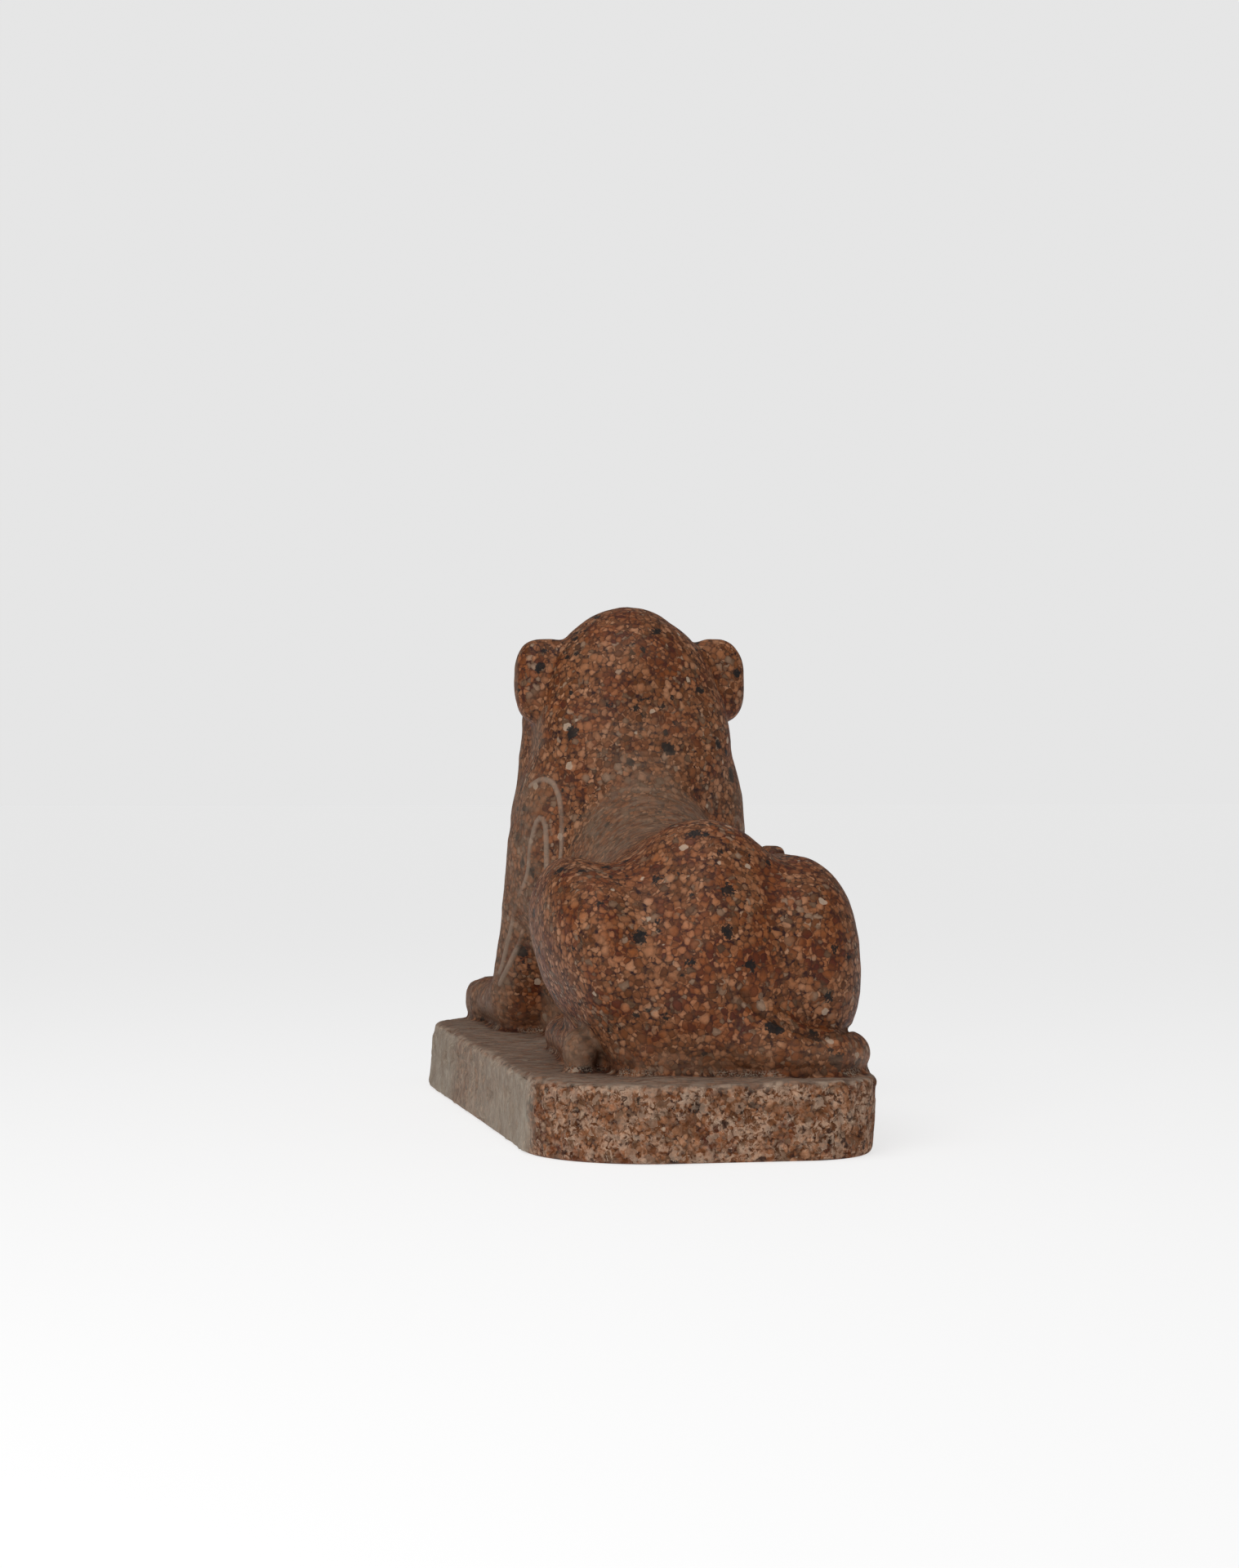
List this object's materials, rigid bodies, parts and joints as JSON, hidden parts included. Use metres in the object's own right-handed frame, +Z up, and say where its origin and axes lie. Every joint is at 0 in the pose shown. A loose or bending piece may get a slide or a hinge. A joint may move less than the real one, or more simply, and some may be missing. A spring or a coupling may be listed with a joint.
{
  "type": "lion statue",
  "caption": "Recumbent lion statue with smooth mane and tail curled over its thigh, carved in one with a low round-cornered plinth.",
  "frame": {"origin": "centre of the bounding box on the underside of the plinth", "axes": "+Z up, -Y the way the lion faces, +X to the lion's left"},
  "size_m": [0.2392, 0.569, 0.3625],
  "materials": {
    "granite": "worn polish"
  },
  "bodies": {
    "root": {"lion_statue": "granite"}
  },
  "joints": []
}
